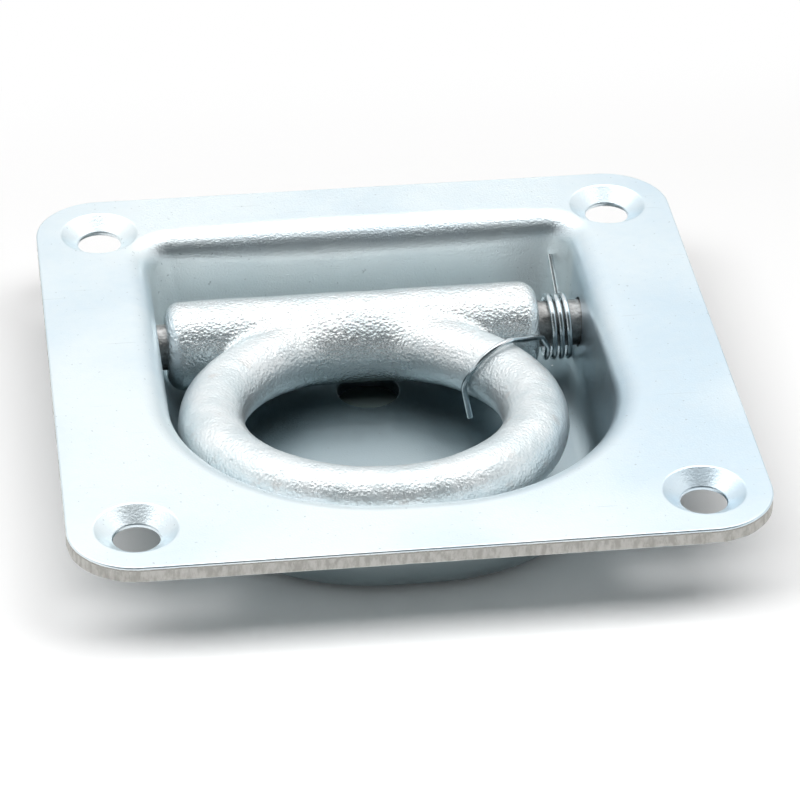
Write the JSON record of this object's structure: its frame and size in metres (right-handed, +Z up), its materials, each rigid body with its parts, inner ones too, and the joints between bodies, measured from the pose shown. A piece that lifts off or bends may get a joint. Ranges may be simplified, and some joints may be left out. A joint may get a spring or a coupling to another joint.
{
  "type": "lashing ring",
  "caption": "Recessed pan lashing ring: a pressed square steel pan with a forged hinged ring lying in its recess under a torsion return spring.",
  "frame": {"origin": "centre of the four fixing holes, on the underside of the flange, which seats on the deck", "axes": "+Z up, out of the deck and square to the flange; -Y from the hinge pin towards the ring's bow; the pin lies along X with the spring at its +X end"},
  "size_m": [0.12, 0.12, 0.024],
  "materials": {
    "zinc_sheet": "bright bluish zinc plating on pressed steel sheet",
    "forged_zinc": "bright zinc plating over a rough forged surface",
    "pin_steel": "zinc plated turned steel",
    "spring_steel": "smooth drawn spring wire"
  },
  "bodies": {
    "pan_body": {"pan": "zinc_sheet", "hinge_pin": "pin_steel", "return_spring": "spring_steel"},
    "ring_body": {"lashing_ring": "forged_zinc"}
  },
  "joints": [
    {"name": "ring_swing", "type": "hinge", "parent": "pan_body", "child": "ring_body", "pos_m": [0, 0.026, -0.009], "axis": [-1, 0, 0], "range_deg": [0, 129], "stiffness_Nm_per_rad": 0.1, "springref_deg": -22.92, "deforming": ["return_spring"]}
  ]
}
